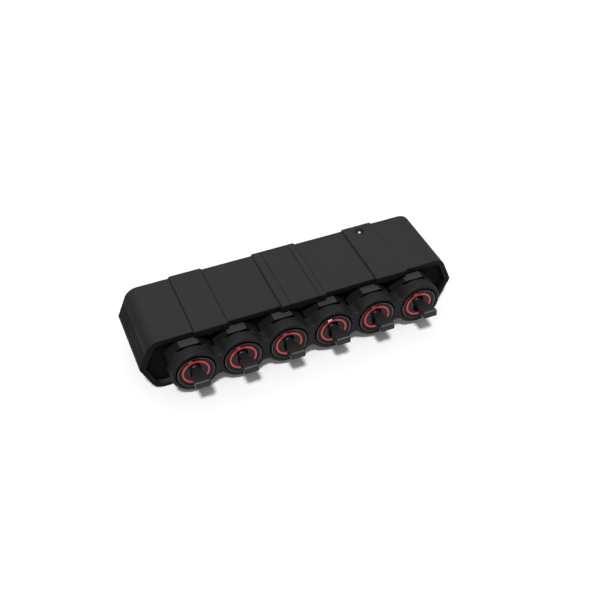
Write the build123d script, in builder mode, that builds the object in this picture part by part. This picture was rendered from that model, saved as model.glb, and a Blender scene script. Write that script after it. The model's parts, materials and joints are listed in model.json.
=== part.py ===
from build123d import *
import math
import os

# A portable power distribution box with six lit toggle switches in a row.
# X runs along the row of switches, -Y is the switch side, +Z is up.
# The origin is the middle of the flat underside. All sizes are millimetres.
os.makedirs("parts", exist_ok=True)

# ---- driving dimensions ----------------------------------------------------

# housing
switch_count = 6
switch_pitch = 30.0
body_height = 40.0
body_depth = 51.2
end_margin = 22.5  # last switch axis to the end of the flat top
end_bulge = 8.5  # how far the end ridges stand out past the flat top
corner_radius = 9.5
ridge_radius = 3.0
wall = 4.0
rim_round = 0.8
lip_height = 3.6  # height of the front rim round the switch panel
lip_depth = 3.0  # how far the panel sits back inside the rim
flange_width = 2.5  # inner ledge that the panel gasket lies on
flange_depth = 2.5
rear_lip = 2.0
smallest_radius = 0.8

# straps moulded across the top
strap_rise = 1.0
strap_front = 2.0  # how far a strap stands out past the front rim
strap_back = 0.5
strap_bevel = 0.9
strap_round = 1.0
centre_strap_width = 30.6
side_strap_width = 22.2
side_strap_place = 60.0
strap_groove_places = [-9.0, 10.0]
strap_groove_width = 0.8
strap_groove_depth = 0.5

# grip grooves in the slanted ends
grip_groove_count = 4
grip_groove_first = 3.6
grip_groove_pitch = 2.2
grip_groove_width = 0.8
grip_groove_depth = 0.6

# indicator in the right-hand strap
indicator_back = 6.0  # from the rear edge
indicator_radius = 1.5
indicator_sink_radius = 3.1
indicator_dome = 0.6
led_flange_radius = 2.0
led_length = 3.5

# switch panel with its eight-sided bosses
panel_thickness = 3.0
boss_apothem = 14.4
boss_length = 7.6
gasket_thickness = 1.0
gasket_side_gap = 0.2
panel_screw_places = [-60.0, 0.0, 60.0]
panel_screw_height = 9.6
board_post_radius = 3.0
board_post_places = [-60.0, 0.0, 60.0]

# scalloped fascia that joins the six collars
collar_radius = 15.2
collar_round = 1.2
fascia_depth = 9.0
web_half_height = 8.0
web_fillet = 3.6
groove_core_radius = 13.2
groove_width = 2.2
groove_reach = 11.8  # the groove is cut only above and below this height
seat_gap = 0.8  # round the bezel in its seat
seat_depth = 4.0
seat_chamfer = 0.4

# switch
bezel_radius = 11.8
bezel_overhang = 2.0  # how far the bezel stands out past the barrel
case_step = 0.6  # how much slimmer the case is than the barrel
barrel_length = 21.2
case_length = 15.0
bezel_height = 2.5
bezel_chamfer = 0.6
switch_flange = 1.2
light_ring_outer = 8.7
light_ring_inner = 7.7
light_ring_height = 2.2
face_height = 1.6
slot_width = 6.8
slot_height = 13.4
cavity_radius = 6.4
cavity_depth = 12.5
seal_thickness = 0.6
nut_across_flats = 22.0
nut_corner_radius = 12.0
nut_thickness = 3.0
blade_width = 4.8
blade_thickness = 0.8
blade_spacing = 4.4
blade_overrun = 1.4

# lever
lever_tilt = 12.5  # up from level, the ON position
pivot_depth = 4.1  # pivot behind the fascia's face
hub_radius = 3.6
hub_width = 5.6
pin_radius = 1.0
pin_inset = 1.3  # from the barrel's side to each end of the pin
neck_width = 5.4
neck_thickness = 3.9
paddle_width = 9.2
paddle_thickness = 4.6
paddle_start = 7.5
paddle_full = 11.5
lever_length = 19.6
paddle_corner = 1.6
paddle_edge = 0.8
tail_radius = 1.3
tail_length = 7.6

# rear cover and cable glands
cover_thickness = 3.0
end_screw_inset = 9.5  # from the end of the flat top
end_screw_height = 9.0
middle_screw_inset = 6.8  # from the top and underside
gland_places = [-50.0, 50.0]
gland_thread_radius = 8.0
gland_bore_radius = 5.6
gland_hex = 20.0
gland_hex_thickness = 3.4
gland_neck_radius = 7.4
gland_neck_length = 4.6
gland_cap_hex = 19.0
gland_cap_length = 8.0
gland_cap_hex_length = 4.2
gland_dome_radius = 9.0
gland_cap_mouth = 4.7
gland_cap_skin = 1.4
gland_seal_radius = 5.4
gland_seal_length = 6.0
cable_radius = 4.0
locknut_thickness = 3.6

# circuit board and what it carries
board_thickness = 1.6
board_half_length = 84.0
board_half_height = 9.9
board_corner = 2.0
board_gap = 8.0  # from the back of the switch cases to the board
busbar_height = 4.2
busbar_thickness = 1.5
busbar_place = 7.5
busbar_half_length = 82.0
stud_radius = 2.0
stud_inset = 2.6  # from the end of the busbar
stud_length = 7.0
fuse_offset = 8.0  # from each switch's axis towards the middle of the row
fuse_thickness = 3.8
fuse_height = 9.1
fuse_depth = 3.0
fuse_inset = 1.0  # narrower part that sits down in the holder
holder_thickness = 7.6
holder_height = 10.2
holder_depth = 4.0

# screws and bottom inserts
screw_radius = 1.5
screw_head_radius = 2.8
screw_head_height = 1.8
screw_recess_radius = 3.25
screw_recess_depth = 0.7
panel_screw_length = 8.0
cover_screw_length = 7.0
board_screw_radius = 1.25
board_screw_head = 2.4
board_screw_length = 7.0
screw_post_radius = 3.0
screw_post_length = 11.0
rib_width = 3.0
insert_spacing_x = 160.0
insert_spacing_y = 28.0
insert_outer_radius = 3.0
insert_hole_radius = 2.0
insert_length = 6.0
insert_post_radius = 4.6

# clearances
slip_gap = 0.2
hole_gap = 0.3
thread_gap = 0.05
running_gap = 0.05

# ---- derived places --------------------------------------------------------

half_row = (switch_count - 1) * switch_pitch / 2
top_half_length = half_row + end_margin
ridge_half_length = top_half_length + end_bulge
axis_height = body_height / 2
front_y = -body_depth / 2
rear_y = body_depth / 2

barrel_radius = bezel_radius - bezel_overhang
case_radius = barrel_radius - case_step
seat_radius = bezel_radius + seat_gap
pin_length = 2 * (barrel_radius - pin_inset)

panel_front_y = front_y + lip_depth
panel_back_y = panel_front_y + panel_thickness
ledge_y = panel_back_y + gasket_thickness
cavity_y = ledge_y + flange_depth
fascia_back_y = panel_front_y - boss_length
fascia_front_y = fascia_back_y - fascia_depth
seat_y = fascia_front_y + seat_depth
flange_back_y = seat_y - seal_thickness
flange_front_y = flange_back_y - switch_flange
case_front_y = flange_back_y + barrel_length
case_back_y = case_front_y + case_length
pivot_y = fascia_front_y + pivot_depth
board_front_y = case_back_y + board_gap
board_back_y = board_front_y + board_thickness

cover_back_y = rear_y
cover_front_y = cover_back_y - cover_thickness
rear_ledge_y = cover_front_y - gasket_thickness

switch_places = [i * switch_pitch - half_row for i in range(switch_count)]
cover_screw_places = [
    (side * (top_half_length - end_screw_inset), level * end_screw_height)
    for side in (-1, 1)
    for level in (-1, 1)
] + [(0, level * (body_height / 2 - middle_screw_inset)) for level in (-1, 1)]


def forward_plane(y, x=0.0):
    """Plane facing forwards at depth y, with its centre on a switch's height."""
    return Plane(origin=(x, y, axis_height), x_dir=(1, 0, 0), z_dir=(0, -1, 0))


def body_section(inset):
    """Long hexagon of the body with rounded corners, moved in by inset."""
    half_height = body_height / 2
    slant = math.hypot(end_bulge, half_height)
    flat_z = half_height - inset
    ridge_x = ridge_half_length - inset * slant / half_height
    flat_x = ridge_x - end_bulge * flat_z / half_height
    with BuildSketch() as section:
        with BuildLine():
            Polyline(
                (flat_x, flat_z),
                (ridge_x, 0),
                (flat_x, -flat_z),
                (-flat_x, -flat_z),
                (-ridge_x, 0),
                (-flat_x, flat_z),
                close=True,
            )
        make_face()
        ridges = section.vertices().filter_by(lambda v: abs(v.Y) < smallest_radius)
        fillet(ridges, max(ridge_radius - inset, smallest_radius))
        corners = section.vertices().filter_by(
            lambda v: abs(v.Y) > flat_z - smallest_radius
        )
        fillet(corners, max(corner_radius - inset, smallest_radius))
    return section.sketch


def strap(width, grooves=()):
    """Raised strap that runs over the top and turns down over both rims."""
    half_width = width / 2
    with BuildPart() as pad:
        with BuildSketch(Plane.YZ):
            with Locations(((strap_back - strap_front) / 2, body_height - lip_height)):
                Rectangle(
                    body_depth + strap_front + strap_back,
                    lip_height + strap_rise,
                    align=(Align.CENTER, Align.MIN),
                )
        extrude(amount=half_width, both=True)
        top_edges = pad.edges().filter_by(Axis.X).group_by(Axis.Z)[-1]
        fillet(top_edges, strap_round)
        sides = pad.faces().filter_by(Axis.X)
        low = body_height - lip_height
        side_edges = sides.edges().filter_by(lambda e: e.center().Z > low + 0.1)
        chamfer(side_edges, strap_bevel)
        for place in grooves:
            top = Plane.XY.offset(body_height + strap_rise)
            with BuildSketch(top):
                with Locations((place, 0)):
                    Rectangle(strap_groove_width, body_depth + 2 * strap_front)
            extrude(amount=-strap_groove_depth, mode=Mode.SUBTRACT)
            with BuildSketch(Plane.XZ.offset(strap_front - front_y)):
                with Locations((place, body_height)):
                    Rectangle(strap_groove_width, 2 * lip_height)
            extrude(amount=-strap_groove_depth, mode=Mode.SUBTRACT)
    return pad.part


def ring_sketch(outer, inner):
    """Flat ring about the middle of the sketch."""
    Circle(outer)
    Circle(inner, mode=Mode.SUBTRACT)


# ---- housing ---------------------------------------------------------------

centre_strap = strap(centre_strap_width, strap_groove_places)
side_strap = strap(side_strap_width)
outer_section = body_section(0)
rim_opening = body_section(lip_height)
flange_opening = body_section(lip_height + flange_width)
cavity_section = body_section(wall)
rear_opening = body_section(rear_lip)

with BuildPart() as housing:
    with BuildSketch(forward_plane(rear_y)):
        add(outer_section)
    extrude(amount=body_depth)
    rims = housing.faces().filter_by(Axis.Y)
    fillet(rims.edges(), rim_round)
    add(centre_strap)
    with Locations((-side_strap_place, 0, 0), (side_strap_place, 0, 0)):
        add(side_strap)

    # grip grooves along both slanted ends
    lean = math.degrees(math.atan2(end_bulge, body_height / 2))
    with BuildSketch(forward_plane(rear_y)):
        for i in range(grip_groove_count):
            height = grip_groove_first + i * grip_groove_pitch
            reach = ridge_half_length - end_bulge * height / (body_height / 2)
            for side in (-1, 1):
                with Locations((side * reach, height)):
                    Rectangle(
                        2 * grip_groove_depth, grip_groove_width, rotation=side * lean
                    )
    extrude(amount=body_depth, mode=Mode.SUBTRACT)

    # stepped opening for the switch panel, the hollow, and the cover's seat
    for start, end, opening in (
        (front_y, ledge_y, rim_opening),
        (ledge_y, cavity_y, flange_opening),
        (cavity_y, rear_ledge_y, cavity_section),
        (rear_ledge_y, rear_y + strap_back, rear_opening),
    ):
        with BuildSketch(forward_plane(end)):
            add(opening)
        extrude(amount=end - start, mode=Mode.SUBTRACT)

    # posts that the switch panel screws into, ribbed to the nearest wall
    inner_top = body_height / 2 - wall / 2
    post_places = [
        (x, level * panel_screw_height) for x in panel_screw_places for level in (-1, 1)
    ]
    with BuildSketch(forward_plane(panel_back_y + screw_post_length)):
        with Locations(*post_places):
            Circle(screw_post_radius)
    extrude(amount=screw_post_length)
    with BuildSketch(forward_plane(panel_back_y + screw_post_length)):
        for x, level in post_places:
            middle = math.copysign((abs(level) + inner_top) / 2, level)
            with Locations((x, middle)):
                Rectangle(rib_width, inner_top - abs(level))
    extrude(amount=screw_post_length - gasket_thickness)

    # posts for the rear cover's screws
    with BuildSketch(forward_plane(rear_ledge_y)):
        with Locations(*cover_screw_places):
            Circle(screw_post_radius)
        for x, level in cover_screw_places:
            if x:
                reach = ridge_half_length - wall - end_bulge / 2
                with Locations(((x + math.copysign(reach, x)) / 2, level)):
                    Rectangle(reach - abs(x), rib_width)
            else:
                with Locations((x, math.copysign((abs(level) + inner_top) / 2, level))):
                    Rectangle(rib_width, inner_top - abs(level))
    extrude(amount=cover_screw_length + 1)

    # posts round the mounting inserts in the floor
    with BuildSketch(Plane.XY):
        with GridLocations(insert_spacing_x, insert_spacing_y, 2, 2):
            Circle(insert_post_radius)
    extrude(amount=insert_length + 1)
    with BuildSketch(Plane.XY):
        with GridLocations(insert_spacing_x, insert_spacing_y, 2, 2):
            Circle(insert_outer_radius)
    extrude(amount=insert_length, mode=Mode.SUBTRACT)

    # screw holes from the front and from the rear
    with BuildSketch(forward_plane(panel_back_y)):
        with Locations(*post_places):
            Circle(screw_radius + thread_gap)
    extrude(amount=-(screw_post_length - 1), mode=Mode.SUBTRACT)
    with BuildSketch(forward_plane(rear_ledge_y)):
        with Locations(*cover_screw_places):
            Circle(screw_radius + thread_gap)
    extrude(amount=cover_screw_length, mode=Mode.SUBTRACT)

    # countersunk hole for the indicator
    indicator_y = rear_y - indicator_back
    with Locations((side_strap_place, indicator_y, body_height + strap_rise)):
        CounterSinkHole(
            indicator_radius,
            indicator_sink_radius,
            depth=strap_rise + wall + 1,
            counter_sink_angle=90,
        )
housing.part.label = "housing"
export_step(housing.part, "parts/housing.step")

# ---- indicator lens and its light ------------------------------------------

sink_depth = indicator_sink_radius - indicator_radius
lens_top = body_height + strap_rise - sink_depth
lens_bottom = body_height - wall
with BuildPart() as indicator_lens:
    with BuildSketch(Plane.XY.offset(lens_bottom)):
        with Locations((side_strap_place, indicator_y)):
            Circle(indicator_radius - thread_gap)
    extrude(amount=lens_top + indicator_dome - lens_bottom)
    fillet(indicator_lens.edges().group_by(Axis.Z)[-1], indicator_dome)
indicator_lens.part.label = "indicator_lens"
export_step(indicator_lens.part, "parts/indicator_lens.step")

with BuildPart() as indicator_light:
    with BuildSketch(Plane.XY.offset(lens_bottom)):
        with Locations((side_strap_place, indicator_y)):
            Circle(led_flange_radius)
    extrude(amount=-1)
    with BuildSketch(Plane.XY.offset(lens_bottom)):
        with Locations((side_strap_place, indicator_y)):
            Circle(indicator_radius)
    extrude(amount=-led_length)
indicator_light.part.label = "indicator_light"
export_step(indicator_light.part, "parts/indicator_light.step")

# ---- switch panel ----------------------------------------------------------

panel_section = body_section(lip_height + gasket_side_gap)

with BuildPart() as front_panel:
    with BuildSketch(forward_plane(panel_back_y)):
        add(panel_section)
    extrude(amount=panel_thickness)
    with BuildSketch(forward_plane(panel_front_y)):
        with GridLocations(switch_pitch, 0, switch_count, 1):
            RegularPolygon(boss_apothem, 8, major_radius=False, rotation=22.5)
    extrude(amount=boss_length)
    with BuildSketch(forward_plane(board_front_y)):
        with Locations(*[(x, 0) for x in board_post_places]):
            Circle(board_post_radius)
    extrude(amount=board_front_y - panel_back_y)
    with BuildSketch(forward_plane(panel_back_y)):
        with GridLocations(switch_pitch, 0, switch_count, 1):
            Circle(barrel_radius + hole_gap)
    extrude(amount=panel_thickness + boss_length, mode=Mode.SUBTRACT)
    with BuildSketch(forward_plane(panel_back_y)):
        with Locations(*post_places):
            Circle(screw_radius + slip_gap)
    extrude(amount=panel_thickness, mode=Mode.SUBTRACT)
    with BuildSketch(forward_plane(panel_front_y + screw_recess_depth)):
        with Locations(*post_places):
            Circle(screw_recess_radius)
    extrude(amount=screw_recess_depth, mode=Mode.SUBTRACT)
    with BuildSketch(forward_plane(board_front_y)):
        with Locations(*[(x, 0) for x in board_post_places]):
            Circle(board_screw_radius + thread_gap)
    extrude(amount=board_screw_length, mode=Mode.SUBTRACT)
front_panel.part.label = "front_panel"
export_step(front_panel.part, "parts/front_panel.step")

gasket_inner = body_section(lip_height + flange_width - gasket_side_gap)
with BuildPart() as front_gasket:
    with BuildSketch(forward_plane(ledge_y)):
        add(panel_section)
        add(gasket_inner, mode=Mode.SUBTRACT)
    extrude(amount=gasket_thickness)
front_gasket.part.label = "front_gasket"
export_step(front_gasket.part, "parts/front_gasket.step")

# ---- scalloped fascia ------------------------------------------------------

with BuildPart() as front_fascia:
    with BuildSketch(forward_plane(fascia_back_y)) as scallop:
        with GridLocations(switch_pitch, 0, switch_count, 1):
            Circle(collar_radius)
        Rectangle(2 * half_row, 2 * web_half_height)
        notches = scallop.vertices().filter_by(lambda v: abs(v.X) < half_row)
        fillet(notches, web_fillet)
    extrude(amount=fascia_depth)
    fillet(front_fascia.faces().sort_by(Axis.Y)[0].edges(), collar_round)
    # shadow groove behind the upper and lower edges of each collar
    with BuildSketch(forward_plane(fascia_back_y)):
        with GridLocations(switch_pitch, 0, switch_count, 1):
            ring_sketch(collar_radius + 1, groove_core_radius)
        Rectangle(
            2 * (half_row + switch_pitch), 2 * groove_reach, mode=Mode.SUBTRACT
        )
    extrude(amount=groove_width, mode=Mode.SUBTRACT)
    # seats for the bezels, and holes for the barrels
    with BuildSketch(forward_plane(fascia_back_y)):
        with GridLocations(switch_pitch, 0, switch_count, 1):
            Circle(barrel_radius + hole_gap)
    extrude(amount=fascia_depth, mode=Mode.SUBTRACT)
    with BuildSketch(forward_plane(seat_y)):
        with GridLocations(switch_pitch, 0, switch_count, 1):
            Circle(seat_radius)
    extrude(amount=seat_depth, mode=Mode.SUBTRACT)
    mouths = (
        front_fascia.edges()
        .filter_by(GeomType.CIRCLE)
        .filter_by(lambda e: abs(e.center().Y - fascia_front_y) < 0.01)
        .filter_by(lambda e: abs(e.radius - seat_radius) < 0.01)
    )
    chamfer(mouths, seat_chamfer)
front_fascia.part.label = "front_fascia"
export_step(front_fascia.part, "parts/front_fascia.step")


# ---- switches --------------------------------------------------------------


def switch_body(x):
    """Threaded barrel with its front flange, slotted face and rear case."""
    with BuildPart() as body:
        with BuildSketch(forward_plane(case_back_y, x)):
            Circle(case_radius)
        extrude(amount=case_length)
        with BuildSketch(forward_plane(case_front_y, x)):
            Circle(barrel_radius)
        extrude(amount=barrel_length)
        with BuildSketch(forward_plane(flange_back_y, x)):
            Circle(bezel_radius)
        extrude(amount=switch_flange)
        with BuildSketch(forward_plane(flange_front_y, x)):
            Circle(light_ring_inner - thread_gap)
        extrude(amount=face_height)
        with BuildSketch(forward_plane(flange_front_y + cavity_depth, x)):
            Circle(cavity_radius)
        extrude(amount=cavity_depth, mode=Mode.SUBTRACT)
        with BuildSketch(forward_plane(flange_front_y, x)):
            SlotOverall(slot_height, slot_width, rotation=90)
        extrude(amount=face_height, mode=Mode.SUBTRACT)
        with BuildSketch(Plane.YZ.offset(x)):
            with Locations((pivot_y, axis_height)):
                Circle(pin_radius + thread_gap)
        extrude(amount=pin_length / 2, both=True, mode=Mode.SUBTRACT)
    return body.part


def bezel_ring(x):
    """Metal ring that frames the switch's face."""
    with BuildPart() as ring:
        with BuildSketch(forward_plane(flange_front_y, x)):
            ring_sketch(bezel_radius, light_ring_outer + thread_gap)
        extrude(amount=bezel_height)
        chamfer(ring.faces().sort_by(Axis.Y)[0].outer_wire().edges(), bezel_chamfer)
    return ring.part


def light_ring(x):
    """Translucent ring that glows when its circuit is on."""
    with BuildPart() as ring:
        with BuildSketch(forward_plane(flange_front_y, x)):
            ring_sketch(light_ring_outer, light_ring_inner)
        extrude(amount=light_ring_height)
    return ring.part


def lever(x):
    """Flat paddle on a necked stalk, with its ball hub and the tail behind it."""
    tilt = math.radians(lever_tilt)
    pivot = Vector(x, pivot_y, axis_height)
    along = Vector(0, -math.cos(tilt), math.sin(tilt))
    over = Vector(0, math.sin(tilt), math.cos(tilt))
    plan = Plane(origin=pivot, x_dir=Vector(1, 0, 0), z_dir=-over)
    side = Plane(origin=pivot, x_dir=along, z_dir=Vector(-1, 0, 0))
    with BuildPart() as arm:
        with BuildSketch(plan) as outline:
            with BuildLine():
                Polyline(
                    (-neck_width / 2, 0),
                    (-neck_width / 2, paddle_start),
                    (-paddle_width / 2, paddle_full),
                    (-paddle_width / 2, lever_length),
                    (paddle_width / 2, lever_length),
                    (paddle_width / 2, paddle_full),
                    (neck_width / 2, paddle_start),
                    (neck_width / 2, 0),
                    close=True,
                )
            make_face()
            fillet(outline.vertices().group_by(Axis.Y)[-1], paddle_corner)
            fillet(
                outline.vertices().filter_by(
                    lambda v: paddle_start - 0.1 < v.Y < paddle_full + 0.1
                ),
                paddle_corner,
            )
        extrude(amount=paddle_thickness, both=True)
        with BuildSketch(side):
            with BuildLine():
                Polyline(
                    (0, -neck_thickness / 2),
                    (paddle_start, -neck_thickness / 2),
                    (lever_length, -paddle_thickness / 2),
                    (lever_length, paddle_thickness / 2),
                    (paddle_start, neck_thickness / 2),
                    (0, neck_thickness / 2),
                    close=True,
                )
            make_face()
        extrude(amount=paddle_width, both=True, mode=Mode.INTERSECT)
        tip = arm.edges().filter_by(
            lambda e: (e.center() - pivot).dot(along) > lever_length - 0.01
        )
        fillet(tip, paddle_edge)
        with Locations(pivot):
            Sphere(hub_radius)
        for flat_side in (-1, 1):
            flat = Plane(
                origin=pivot + Vector(flat_side * hub_width / 2, 0, 0),
                z_dir=Vector(flat_side, 0, 0),
            )
            with BuildSketch(flat):
                Circle(hub_radius)
            extrude(amount=hub_radius, mode=Mode.SUBTRACT)
        with BuildSketch(Plane(origin=pivot, z_dir=-along)):
            Circle(tail_radius)
        extrude(amount=tail_length)
        with BuildSketch(side):
            Circle(pin_radius + running_gap)
        extrude(amount=hub_width, both=True, mode=Mode.SUBTRACT)
    return arm.part


makers = {
    "switch_body": switch_body,
    "bezel_ring": bezel_ring,
    "light_ring": light_ring,
    "lever": lever,
}
for number, place in enumerate(switch_places, start=1):
    for name, maker in makers.items():
        piece = maker(place)
        piece.label = f"{name}_{number}"
        export_step(piece, f"parts/{name}_{number}.step")

with BuildPart() as pivot_pins:
    for place in switch_places:
        with BuildSketch(Plane.YZ.offset(place)):
            with Locations((pivot_y, axis_height)):
                Circle(pin_radius)
        extrude(amount=pin_length / 2, both=True)
pivot_pins.part.label = "pivot_pins"
export_step(pivot_pins.part, "parts/pivot_pins.step")

with BuildPart() as switch_seals:
    with BuildSketch(forward_plane(seat_y)):
        with GridLocations(switch_pitch, 0, switch_count, 1):
            ring_sketch(bezel_radius, barrel_radius + slip_gap)
    extrude(amount=seal_thickness)
switch_seals.part.label = "switch_seals"
export_step(switch_seals.part, "parts/switch_seals.step")

with BuildSketch() as nut:
    RegularPolygon(nut_across_flats / 2, 6, major_radius=False, rotation=30)
    Circle(nut_corner_radius, mode=Mode.INTERSECT)
    Circle(barrel_radius + thread_gap, mode=Mode.SUBTRACT)
nut_outline = nut.sketch

with BuildPart() as switch_nuts:
    with BuildSketch(forward_plane(panel_back_y + nut_thickness)):
        with GridLocations(switch_pitch, 0, switch_count, 1):
            add(nut_outline)
    extrude(amount=nut_thickness)
switch_nuts.part.label = "switch_nuts"
export_step(switch_nuts.part, "parts/switch_nuts.step")

blade_places = [(x, level * blade_spacing) for x in switch_places for level in (-1, 0, 1)]
with BuildPart() as switch_terminals:
    with BuildSketch(forward_plane(board_back_y + blade_overrun)):
        with Locations(*blade_places):
            Rectangle(blade_width, blade_thickness)
    extrude(amount=board_back_y + blade_overrun - case_back_y)
switch_terminals.part.label = "switch_terminals"
export_step(switch_terminals.part, "parts/switch_terminals.step")

# ---- circuit board and what it carries --------------------------------------

with BuildPart() as circuit_board:
    with BuildSketch(forward_plane(board_back_y)) as board:
        Rectangle(2 * board_half_length, 2 * board_half_height)
        chamfer(board.vertices(), board_corner)
        with Locations(*blade_places):
            Rectangle(
                blade_width + 2 * slip_gap,
                blade_thickness + 2 * slip_gap,
                mode=Mode.SUBTRACT,
            )
        with Locations(*[(x, 0) for x in board_post_places]):
            Circle(board_screw_radius + slip_gap, mode=Mode.SUBTRACT)
    extrude(amount=board_thickness)
circuit_board.part.label = "circuit_board"
export_step(circuit_board.part, "parts/circuit_board.step")


def screws(places, seat_y, direction, radius, head_radius, length):
    """Screws whose bevelled heads sit on seat_y; direction is +1 for heads in front."""
    with BuildPart() as group:
        with BuildSketch(forward_plane(seat_y)):
            with Locations(*places):
                Circle(head_radius)
        extrude(amount=direction * screw_head_height)
        heads = group.faces().filter_by(Axis.Y).sort_by(Axis.Y)
        tops = [f for f in heads if abs(f.center().Y - seat_y) > screw_head_height / 2]
        chamfer([edge for top in tops for edge in top.edges()], screw_head_height / 3)
        with BuildSketch(forward_plane(seat_y)):
            with Locations(*places):
                Circle(radius)
        extrude(amount=-direction * length)
    return group.part


board_screw_places = [(x, 0) for x in board_post_places]
board_screws = screws(
    board_screw_places,
    board_back_y,
    -1,
    board_screw_radius,
    board_screw_head,
    board_screw_length,
)
board_screws.label = "board_screws"
export_step(board_screws, "parts/board_screws.step")

panel_screws = screws(
    post_places,
    panel_front_y + screw_recess_depth,
    1,
    screw_radius,
    screw_head_radius,
    panel_screw_length,
)
panel_screws.label = "panel_screws"
export_step(panel_screws, "parts/panel_screws.step")

for name, level in (("positive_busbar", 1), ("ground_busbar", -1)):
    with BuildPart() as busbar:
        with BuildSketch(forward_plane(board_back_y + busbar_thickness)):
            with Locations((0, level * busbar_place)):
                Rectangle(2 * busbar_half_length, busbar_height)
        extrude(amount=busbar_thickness)
    busbar.part.label = name
    export_step(busbar.part, f"parts/{name}.step")

stud_x = stud_inset - busbar_half_length
with BuildPart() as supply_studs:
    with BuildSketch(forward_plane(board_back_y + busbar_thickness + stud_length)):
        for level in (-1, 1):
            with Locations((stud_x, level * busbar_place)):
                Circle(stud_radius)
    extrude(amount=stud_length)
supply_studs.part.label = "supply_studs"
export_step(supply_studs.part, "parts/supply_studs.step")

fuse_places = [(x - math.copysign(fuse_offset, x), 0) for x in switch_places]
fuse_foot_thickness = fuse_thickness - fuse_inset
fuse_foot_height = fuse_height - 2 * fuse_inset
with BuildPart() as fuse_holders:
    with BuildSketch(forward_plane(board_back_y + holder_depth)):
        with Locations(*fuse_places):
            Rectangle(holder_thickness, holder_height)
    extrude(amount=holder_depth)
    with BuildSketch(forward_plane(board_back_y + holder_depth)):
        with Locations(*fuse_places):
            Rectangle(
                fuse_foot_thickness + 2 * slip_gap, fuse_foot_height + 2 * slip_gap
            )
    extrude(amount=holder_depth / 2, mode=Mode.SUBTRACT)
fuse_holders.part.label = "fuse_holders"
export_step(fuse_holders.part, "parts/fuse_holders.step")

with BuildPart() as blade_fuses:
    with BuildSketch(forward_plane(board_back_y + holder_depth + fuse_depth)):
        with Locations(*fuse_places):
            Rectangle(fuse_thickness, fuse_height)
    extrude(amount=fuse_depth)
    with BuildSketch(forward_plane(board_back_y + holder_depth)):
        with Locations(*fuse_places):
            Rectangle(fuse_foot_thickness, fuse_foot_height)
    extrude(amount=holder_depth / 2)
blade_fuses.part.label = "blade_fuses"
export_step(blade_fuses.part, "parts/blade_fuses.step")

# ---- rear cover ------------------------------------------------------------

cover_section = body_section(rear_lip + slip_gap)
cover_inner = body_section(wall - slip_gap)

with BuildPart() as rear_gasket:
    with BuildSketch(forward_plane(cover_front_y)):
        add(cover_section)
        add(cover_inner, mode=Mode.SUBTRACT)
    extrude(amount=gasket_thickness)
rear_gasket.part.label = "rear_gasket"
export_step(rear_gasket.part, "parts/rear_gasket.step")

with BuildPart() as rear_cover:
    with BuildSketch(forward_plane(cover_back_y)):
        add(cover_section)
    extrude(amount=cover_thickness)
    # pads that reach through the gasket to the screw posts
    with BuildSketch(forward_plane(cover_front_y)):
        with Locations(*cover_screw_places):
            Circle(screw_post_radius - slip_gap)
    extrude(amount=gasket_thickness)
    with BuildSketch(forward_plane(cover_back_y)):
        with Locations(*cover_screw_places):
            Circle(screw_radius + slip_gap)
        with Locations(*[(x, 0) for x in gland_places]):
            Circle(gland_thread_radius + slip_gap)
    extrude(amount=cover_thickness + gasket_thickness, mode=Mode.SUBTRACT)
    with BuildSketch(forward_plane(cover_back_y)):
        with Locations(*cover_screw_places):
            Circle(screw_recess_radius)
    extrude(amount=screw_recess_depth, mode=Mode.SUBTRACT)
rear_cover.part.label = "rear_cover"
export_step(rear_cover.part, "parts/rear_cover.step")

cover_screws = screws(
    cover_screw_places,
    cover_back_y - screw_recess_depth,
    -1,
    screw_radius,
    screw_head_radius,
    cover_screw_length,
)
cover_screws.label = "cover_screws"
export_step(cover_screws, "parts/cover_screws.step")

# ---- cable glands ----------------------------------------------------------

hex_back_y = cover_back_y + gland_hex_thickness
neck_end_y = hex_back_y + gland_neck_length
gland_tail_y = cover_front_y - locknut_thickness - 0.5


def gland_body(x):
    """Gland with an inner thread, a hexagon against the cover and a neck."""
    with BuildPart() as body:
        with BuildSketch(forward_plane(hex_back_y, x)):
            RegularPolygon(gland_hex / 2, 6, major_radius=False)
        extrude(amount=gland_hex_thickness)
        with BuildSketch(forward_plane(cover_back_y, x)):
            Circle(gland_thread_radius)
        extrude(amount=cover_back_y - gland_tail_y)
        with BuildSketch(forward_plane(neck_end_y, x)):
            Circle(gland_neck_radius)
        extrude(amount=gland_neck_length)
        with BuildSketch(forward_plane(neck_end_y, x)):
            Circle(gland_bore_radius)
        extrude(amount=neck_end_y - gland_tail_y, mode=Mode.SUBTRACT)
    return body.part


def gland_cap(x):
    """Domed nut that squeezes the seal round the cable."""
    start = hex_back_y + slip_gap
    shoulder = start + gland_cap_hex_length
    end = start + gland_cap_length
    with BuildPart() as cap:
        with BuildSketch(forward_plane(shoulder, x)):
            RegularPolygon(gland_cap_hex / 2, 6, major_radius=False)
        extrude(amount=gland_cap_hex_length)
        with BuildSketch(Plane(origin=(x, 0, axis_height))):
            with BuildLine():
                dome_side = (gland_dome_radius, shoulder)
                dome_rim = (gland_cap_mouth + gland_cap_skin, end)
                Polyline((0, end), (0, shoulder), dome_side)
                TangentArc(dome_side, dome_rim, tangent=(0, 1))
                Line(dome_rim, (0, end))
            make_face()
        revolve(axis=Axis((x, 0, axis_height), (0, 1, 0)))
        with BuildSketch(forward_plane(end, x)):
            Circle(gland_cap_mouth)
        extrude(amount=gland_cap_length, mode=Mode.SUBTRACT)
        with BuildSketch(forward_plane(start, x)):
            Circle(gland_neck_radius + slip_gap)
        extrude(
            amount=-(neck_end_y + 1 + slip_gap - start), mode=Mode.SUBTRACT
        )
    return cap.part


def gland_seal(x):
    """Rubber sleeve whose hole takes the cable."""
    with BuildPart() as seal:
        with BuildSketch(forward_plane(neck_end_y + 1, x)):
            ring_sketch(gland_seal_radius, cable_radius)
        extrude(amount=gland_seal_length)
    return seal.part


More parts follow.
